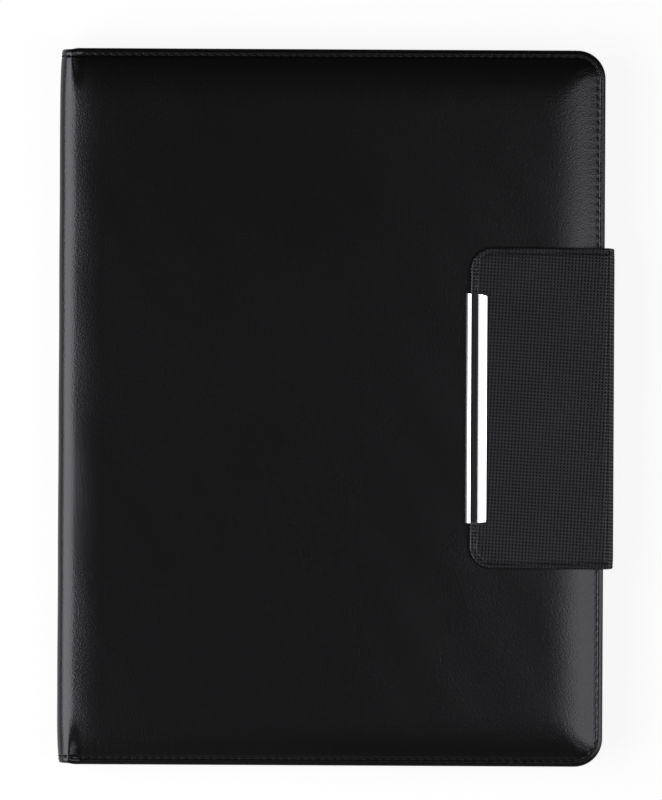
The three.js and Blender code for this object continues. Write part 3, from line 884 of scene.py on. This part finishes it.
def elastic_loop():
    """Ribbed elastic band sewn down at both feet, with a round for the pen."""
    low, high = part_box("pen_loop")
    centre_x = (low.x + high.x) / 2 / MM
    base, top = low.z / MM, high.z / MM
    foot = (high.x - low.x) / 2 / MM
    radius = (top - base) / 2 - 0.4
    length, half, rib_pitch = 25, 0.36, 0.8
    foot_level = 0.8 - 0.02
    feet = [-foot + (foot - radius) * i / 7 * 0.85 for i in range(7)]
    line = [(x, foot_level) for x in feet]
    for i in range(49):
        angle = math.pi + 0.55 - (math.pi + 1.1) * i / 48
        line.append((radius * math.cos(angle), 0.4 + radius + radius * math.sin(angle)))
    line += [(-x, foot_level) for x in reversed(feet)]
    steps = [-length / 2 + length * i / 62 for i in range(63)]
    points, laid = [], []
    travelled = 0
    for i, (x, z) in enumerate(line):
        before, after = line[max(i - 1, 0)], line[min(i + 1, len(line) - 1)]
        dx, dz = after[0] - before[0], after[1] - before[1]
        size = math.hypot(dx, dz) or 1
        nx, nz = -dz / size, dx / size
        if i:
            travelled += math.hypot(x - line[i - 1][0], z - line[i - 1][1])
        ring = []
        for y in steps:
            edge = ease((length / 2 - abs(y)) / 0.6)
            rib = 0.05 * math.cos(2 * math.pi * y / rib_pitch)
            thick = half * (0.55 + 0.45 * edge) + rib * edge
            ring.append((x + nx * thick, y, z + nz * thick))
        for y in reversed(steps):
            edge = ease((length / 2 - abs(y)) / 0.6)
            thick = half * (0.55 + 0.45 * edge)
            ring.append((x - nx * thick, y, max(z - nz * thick, 0.02)))
        for x2, y2, z2 in ring:
            y_out = (low.y + high.y) / 2 + y2 * MM
            points.append(Vector(((centre_x + x2) * MM, y_out, (base + z2) * MM)))
            laid.append((travelled * MM, y2 * MM))
    faces = tube_faces(len(line), 2 * len(steps))
    made = piece("pen_loop_elastic", points, faces, laid, ELASTIC)
    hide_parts("pen_loop")
    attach(made, "back_cover")


elastic_loop()


# Closing strap


LOW_BEND = (STRAP_OUTER - STRAP_BEND, PANEL - STRAP_THICK + STRAP_BEND)
RISE = FLAP_TOP - STRAP_BEND - LOW_BEND[1]
HIGH_BEND = (LOW_BEND[0] - RISE * math.tan(STRAP_LEAN), LOW_BEND[1] + RISE)
LEVEL = HIGH_BEND[0] - FLAP_TIP
HIGH_TURN = STRAP_BEND * (math.pi / 2 - STRAP_LEAN)
SLOPE = RISE / math.cos(STRAP_LEAN)
LOW_TURN = STRAP_BEND * (math.pi / 2 + STRAP_LEAN)
ROOT = LOW_BEND[0] - COVER_WIDTH - 0.3
STRAP_LENGTH = LEVEL + HIGH_TURN + SLOPE + LOW_TURN + ROOT


def off_centre(centre, angle, reach):
    out = (math.cos(angle), math.sin(angle))
    return centre[0] + reach * out[0], centre[1] + reach * out[1], out


def strap_path(s, depth):
    """Place in x and z on the strap's outside, s from the flap's tip, and the way out of it."""
    if s <= LEVEL:
        return FLAP_TIP + s, FLAP_TOP - depth, (0.0, 1.0)
    s -= LEVEL
    if s <= HIGH_TURN:
        return off_centre(HIGH_BEND, math.pi / 2 - s / STRAP_BEND, STRAP_BEND - depth)
    s -= HIGH_TURN
    if s <= SLOPE:
        reach = STRAP_BEND - depth + STRAP_BULGE * math.sin(math.pi * s / SLOPE) ** 1.5
        x, z, out = off_centre(HIGH_BEND, STRAP_LEAN, reach)
        return x + s * math.sin(STRAP_LEAN), z - s * math.cos(STRAP_LEAN), out
    s -= SLOPE
    if s <= LOW_TURN:
        return off_centre(LOW_BEND, STRAP_LEAN - s / STRAP_BEND, STRAP_BEND - depth)
    s -= LOW_TURN
    return LOW_BEND[0] - s, PANEL - STRAP_THICK + depth, (0.0, -1.0)


STRAP_SPLIT = LEVEL + HIGH_TURN + SLOPE / 2
ROLL = 0.75


def flap_edge_distance(s, v):
    """Distance from the flap's sewn edge, with its round corners at the tip."""
    up = HALF_FLAP - abs(v)
    if s < FLAP_CORNER and up < FLAP_CORNER:
        return FLAP_CORNER - math.hypot(FLAP_CORNER - s, FLAP_CORNER - up)
    return min(s, up)


def strap_depth(s, v):
    """Depth of the embossed face: the dimples, the seam's groove and the softened edge."""
    rows = (s * TURN_COS + v * TURN_SIN, -s * TURN_SIN + v * TURN_COS)
    fx, fy = (abs((along / DIMPLE_PITCH + 0.5) % 1 - 0.5) * 2 for along in rows)
    pit = 1 - ease((math.hypot(fx, fy) - 0.25) / 0.45)
    inset = flap_edge_distance(s, v)
    groove = STRAP_GROOVE * math.exp(-(((inset - FLAP_SEAM) / 0.5) ** 2))
    soft = 0.1 * (1 - ease((inset - 0.5) / 5))
    return DIMPLE_DEPTH * pit + groove + soft


def strap_leather(name, start, end, nodes, pair, bend):
    """One half of the embossed leather, cut from a turned grid so that its dimples stay whole."""
    grid = bmesh.new()
    step = DIMPLE_PITCH / 4
    reach = 84 if end - start > 60 else 76
    centre = (start + end) / 2
    half_s = (end - start) / 2 + 5
    first_a = math.floor((centre * TURN_COS - half_s) / step)
    last_a = math.ceil((centre * TURN_COS + half_s) / step)
    first_b = math.floor((-centre * TURN_SIN - reach) / step)
    last_b = math.ceil((-centre * TURN_SIN + reach) / step)
    for i in range(first_a, last_a + 1):
        for j in range(first_b, last_b + 1):
            a, b = i * step, j * step
            grid.verts.new((a * TURN_COS - b * TURN_SIN, a * TURN_SIN + b * TURN_COS, 0))
    corners = grid.verts[:]
    for face in grid_faces(last_a + 1 - first_a, last_b + 1 - first_b):
        grid.faces.new([corners[index] for index in face])

    def cut(point, out):
        geom = grid.verts[:] + grid.edges[:] + grid.faces[:]
        plane = {"plane_co": (*point, 0), "plane_no": (*out, 0)}
        bmesh.ops.bisect_plane(grid, geom=geom, dist=1e-5, clear_outer=True, **plane)

    top = HALF_FLAP - ROLL
    cut((0, top), (0, 1))
    cut((0, -top), (0, -1))
    cut((end, 0), (1, 0))
    if start > 0:
        cut((start, 0), (-1, 0))
    else:
        cut((ROLL, 0), (-1, 0))
        radius = FLAP_CORNER - ROLL
        for sign in (-1, 1):
            for k in range(1, 12):
                angle = math.pi / 2 * k / 12
                out = (-math.cos(angle), sign * math.sin(angle))
                middle = (FLAP_CORNER, sign * (HALF_FLAP - FLAP_CORNER))
                cut((middle[0] + out[0] * radius, middle[1] + out[1] * radius), out)
    grid.verts.ensure_lookup_table()
    grid.verts.index_update()
    flat = [(vert.co.x, vert.co.y) for vert in grid.verts]
    faces = [tuple(vert.index for vert in face.verts) for face in grid.faces]
    outer = []
    for edge in grid.edges:
        if not edge.is_boundary:
            continue
        a, b = (vert.index for vert in edge.verts)
        loop = [vert.index for vert in edge.link_faces[0].verts]
        if (loop.index(b) - loop.index(a)) % len(loop) != 1:
            a, b = b, a
        split = (start, end) if start > 0 else (end,)
        if not any(abs(flat[a][0] - s) < 1e-3 and abs(flat[b][0] - s) < 1e-3 for s in split):
            outer.append((a, b))
    grid.free()
    points, laid = [], []

    def put(s, v, depth):
        x, z, _ = strap_path(s, depth)
        points.append(place(x, v, z))
        laid.append((s * MM, v * MM))

    for s, v in flat:
        put(s, v, strap_depth(s, v))

    def way_out(s, v):
        if s < FLAP_CORNER and abs(v) > HALF_FLAP - FLAP_CORNER:
            ds, dv = s - FLAP_CORNER, abs(v) - (HALF_FLAP - FLAP_CORNER)
            size = math.hypot(ds, dv)
            return ds / size, math.copysign(dv / size, v)
        if abs(v) > HALF_FLAP - ROLL - 1e-3:
            return 0.0, math.copysign(1.0, v)
        return -1.0, 0.0

    used = sorted({index for edge in outer for index in edge})
    rings = [{index: index for index in used}]
    for k in range(1, 8):
        ring = {}
        for index in used:
            s, v = flat[index]
            ns, nv = way_out(s, v)
            base = strap_depth(s, v)
            if k <= 6:
                angle = math.pi * k / 6
                out, down = ROLL * math.sin(angle), (STRAP_WRAP - base) / 2 * (1 - math.cos(angle))
            else:
                out, down = -2.5, STRAP_WRAP - base
            ring[index] = len(points)
            put(s + ns * out, v + nv * out, base + down)
        rings.append(ring)
    for lower, upper in zip(rings, rings[1:]):
        for a, b in outer:
            faces.append((lower[b], lower[a], upper[a], upper[b]))
    made = piece(name, points, faces, laid, DIMPLED)
    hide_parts(*nodes)
    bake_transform(made)


def bend_points(centre, middle):
    """Where the leather starts and stops turning, either side of a bend's middle."""
    ends = [off_centre(centre, middle + turn, 2.9) for turn in (0.8, -0.8)]
    return [place(x, 0, z) for x, z, _ in ends]


FLAP_BEND = bend_points(HIGH_BEND, (math.pi / 2 + STRAP_LEAN) / 2)
STRIP_BEND = bend_points(LOW_BEND, (STRAP_LEAN - math.pi / 2) / 2)


def strap_lining(name, start, end, nodes, pair, bend):
    """Smooth leather on the strap's inside, with a thin rolled edge."""
    inset = 1.0
    count = max(8, round((end - start) / 0.9))
    ss = [start + (end - start) * i / count for i in range(count + 1)]
    half = HALF_FLAP - inset
    vs = [-half + 2 * half * j / 70 for j in range(71)]
    points, laid, faces = [], [], []

    def shift(s, v, grow):
        """Keeps to the flap's round corners."""
        if s >= FLAP_CORNER:
            return v * (half + grow) / half
        near, across = FLAP_CORNER - inset, FLAP_CORNER - s
        most = HALF_FLAP - FLAP_CORNER + math.sqrt(max(near * near - across * across, 0.0))
        return v * (most + grow) / half

    for grow, sink in ((0.35, 0.5), (0.25, 0.12), (0, 0)):
        for s in ss:
            for v in (-half, half):
                x, z, _ = strap_path(s, STRAP_THICK - sink)
                v = shift(s, v, grow)
                points.append(place(x, v, z))
                laid.append((s * MM, v * MM))
    base = len(points)
    for s in ss:
        for v in vs:
            x, z, _ = strap_path(s, STRAP_THICK)
            points.append(place(x, shift(s, v, 0), z))
            laid.append((s * MM, v * MM))
    rows = len(ss)
    for ring in range(2):
        for i in range(rows - 1):
            for side in (0, 1):
                a = ring * rows * 2 + i * 2 + side
                b = a + 2
                c, d = a + rows * 2, b + rows * 2
                faces.append((a, b, d, c) if side else (a, c, d, b))
    faces += shifted(turned(grid_faces(rows, len(vs))), base)
    made = piece(name, points, faces, laid, LEATHER)
    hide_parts(*nodes)
    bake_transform(made)


FLAP_PART = (("flap", "strip"), FLAP_BEND)
STRAP_PART = (("strip", "back_cover"), STRIP_BEND)
strap_leather("flap_leather", 0, STRAP_SPLIT, ("flap_skin", "strip_skin"), *FLAP_PART)
strap_leather("strap_leather", STRAP_SPLIT, STRAP_LENGTH, ("strip_skin", "strap_root"), *STRAP_PART)
strap_lining("flap_inner_leather", 1.0, STRAP_SPLIT, ("flap_lining", "strip_lining"), *FLAP_PART)
strap_lining("strap_inner_leather", STRAP_SPLIT, STRAP_LENGTH, ("strip_lining",), *STRAP_PART)


def strap_stitches():
    """Stitches along the flap's three sides, and down both sides of the strip."""
    flap_spots, strip_spots = [], []
    half = HALF_FLAP - FLAP_SEAM
    radius = FLAP_CORNER - FLAP_SEAM

    def add(s, v, ds, dv):
        x, z, out = strap_path(s, 0.16)
        x2, z2, _ = strap_path(s + ds * 0.2, 0.16)
        spot = (Vector((x, v, z)), Vector((x2 - x, dv * 0.2, z2 - z)), Vector((out[0], 0, out[1])))
        (flap_spots if s < STRAP_SPLIT - 1.5 else strip_spots).append(spot)

    straight = FLAP_HEIGHT - 2 * FLAP_CORNER
    for v in evenly(straight):
        add(FLAP_SEAM, -straight / 2 + v, 0, 1)
    count = int((STRAP_LENGTH - FLAP_CORNER - 3) / STITCH_PITCH)
    for sign in (-1, 1):
        for angle in corner_angles(radius):
            s = FLAP_CORNER - radius * math.cos(angle)
            v = sign * (HALF_FLAP - FLAP_CORNER + radius * math.sin(angle))
            add(s, v, math.sin(angle), sign * math.cos(angle))
        for i in range(count):
            add(FLAP_CORNER + (i + 0.5) * STITCH_PITCH, sign * half, 1, 0)
    for name, spots, (pair, bend) in (
        ("flap_stitches", flap_spots, FLAP_PART),
        ("strap_stitches", strip_spots, STRAP_PART),
    ):
        made = thread_run(name, spots)
        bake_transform(made)


strap_stitches()


def curve(start, pull, push, end, count):
    """Places on a smooth curve from start, up to but without its end."""
    made = []
    for i in range(count):
        t = i / count
        k = 1 - t
        shares = (k**3, 3 * k * k * t, 3 * k * t * t, t**3)
        axes = zip(start, pull, push, end)
        made.append(tuple(sum(share * at for share, at in zip(shares, axis)) for axis in axes))
    return made


def edge_clip():
    """Polished metal clip, crowned towards its free edge, with softened ends."""
    left = -CLIP_OVERHANG
    right = left + CLIP_WIDTH
    crown = STRAP_THICK + CLIP_CROWN
    rim = STRAP_THICK + CLIP_RIM
    crown_at = left + 3.3
    top, side, lip = (crown_at, crown), (left, STRAP_THICK / 2), (left + 1.3, -CLIP_LIP)
    line = [(right - 0.06, STRAP_THICK + 0.02), (right, STRAP_THICK + 0.08), (right, rim - 0.1)]
    line += curve((right, rim), (right - 1.5, crown - 0.3), (crown_at + 2.2, crown), top, 30)
    line += curve(top, (crown_at - 1.4, crown), (left, crown - 0.55), side, 30)
    line += curve(side, (left, -0.2), (left + 0.4, -CLIP_LIP), lip, 14)
    line += [(2, -0.69), (4.4, -0.69), (4.55, -0.6), (4.6, -0.35), (4.55, -0.06), (4.4, -0.01)]
    line += [(-0.3, -0.01), (-0.3, STRAP_THICK - 0.1)]
    line = [(round(x, 5), round(z, 5)) for x, z in line]
    half = CLIP_LENGTH / 2
    ends = [0, 0.05, 0.12, 0.22, 0.38, 0.6, 0.9, 1.3]
    ys = [-half + e for e in ends] + [-half + 2, 0, half - 2] + [half - e for e in reversed(ends)]
    centre_x, centre_z = 2.6, STRAP_THICK / 2
    points, laid = [], []
    for y in ys:
        from_end = half - abs(y)
        shrink = 0.22 * (1 - math.sqrt(max(1 - (1 - min(from_end / 0.4, 1)) ** 2, 0)))
        past = max(CLIP_CORNER - from_end, 0)
        short = CLIP_CORNER - math.sqrt(max(CLIP_CORNER**2 - past**2, 0))
        for x, z in line:
            if z > STRAP_THICK and x > crown_at:
                x = crown_at + (x - crown_at) * (right - short - crown_at) / (right - crown_at)
            dx, dz = x - centre_x, z - centre_z
            k = 1 - shrink / math.hypot(dx, dz) if z > STRAP_THICK or x < 0 else 1
            points.append(place(FLAP_TIP + centre_x + dx * k, y, FLAP_BOTTOM + centre_z + dz * k))
            laid.append((x * MM, y * MM))
    made = piece("metal_edge_clip", points, tube_faces(len(ys), len(line)), laid, CLIP_METAL)
    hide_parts("metal_clip")
    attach(made, "flap")


edge_clip()

# Finishes of the solids that stay
for finish, nodes in (
    (PAGES, ("pad_pages",)),
    (TAPE, ("pad_tape",)),
    (CARD, ("pad_card", "back_board", "front_board", "spine_board", "flap_stiffener")),
    (FOAM, ("back_padding", "front_padding")),
    (MAGNET, ("cover_magnet_upper", "cover_magnet_lower", "flap_magnet_upper", "flap_magnet_lower")),
):
    for node in nodes:
        for material_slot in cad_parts[node].material_slots:
            material_slot.material = finish


# Floor, light and camera


def studio_floor():
    """White sweep, shown plain white to the camera, and less so to what mirrors it."""
    mesh = bpy.data.meshes.new("studio_floor")
    half = 4
    corners = [(-half, -half, 0), (half, -half, 0), (half, half, 0), (-half, half, 0)]
    mesh.from_pydata(corners, [], [(0, 1, 2, 3)])
    made = bpy.data.objects.new("studio_floor", mesh)
    bpy.context.scene.collection.objects.link(made)
    made.location = (0, 0, -0.0002)
    f = Finish("white_sweep")
    camera_ray, glossy_ray, clear_ray = (f.node("ShaderNodeLightPath", output=i) for i in (0, 3, 6))
    shown_ray = f.node(
        "ShaderNodeMath",
        {"operation": "ADD", "use_clamp": True},
        {0: camera_ray + glossy_ray * 0.3, 1: clear_ray},
    )
    lit = f.node("ShaderNodeBsdfDiffuse", None, {"Color": (0.86, 0.86, 0.86, 1)})
    white = f.node("ShaderNodeEmission", None, {"Color": (1, 1, 1, 1), "Strength": 1.05})
    shown = f.node("ShaderNodeMixShader", None, {0: 0.85, 1: lit, 2: white})
    mixed = f.node("ShaderNodeMixShader", None, {0: shown_ray, 1: lit, 2: shown})
    f.node("ShaderNodeOutputMaterial", None, {"Surface": mixed})
    mesh.materials.append(f.made)


def soft_box(name, where, aim, width, height, watts):
    light = bpy.data.lights.new(name, "AREA")
    light.shape = "RECTANGLE"
    light.size, light.size_y = width, height
    light.energy = watts
    light.color = (0.95, 0.93, 1.0)
    made = bpy.data.objects.new(name, light)
    bpy.context.scene.collection.objects.link(made)
    made.location = where
    made.rotation_euler = (Vector(aim) - Vector(where)).to_track_quat("-Z", "Y").to_euler()


studio_floor()
soft_box("left_soft_box", (-1.1, -0.2, 0.95), (0, -0.05, 0), 1.5, 1.3, LEFT_WATTS)
soft_box("right_soft_box", (0.9, -0.2, 1.15), (0, -0.05, 0), 0.7, 1.1, RIGHT_WATTS)
soft_box("overhead_strip", (0.45, -0.05, 1.3), (0.45, -0.05, 0), 0.3, 0.55, STRIP_WATTS)
soft_box("low_soft_box", (0.0, -1.3, 0.8), (0, 0, 0), 1.2, 0.8, LOW_WATTS)

room = Finish("pale_room", bpy.data.worlds)
bpy.context.scene.world = room.made
plain = room.node("ShaderNodeBackground", None, {"Color": (1, 1, 1, 1), "Strength": ROOM_LEVEL})
room.node("ShaderNodeOutputWorld", None, {"Surface": plain})

camera = bpy.data.cameras.new("camera")
viewer = bpy.data.objects.new("camera", camera)
bpy.context.scene.collection.objects.link(viewer)
distance = 3.0
cover_top = 0.0224
picture_height = 800
pixel_size = 0.0004391
viewer.location = (-0.00195, 0.00325, cover_top + distance)
viewer.rotation_euler = (0, 0, math.radians(0.3))
camera.sensor_fit = "VERTICAL"
camera.sensor_height = 24
camera.lens = camera.sensor_height * distance / (picture_height * pixel_size)
camera.clip_end = 50
bpy.context.scene.camera = viewer
bpy.context.scene.view_settings.view_transform = "Standard"
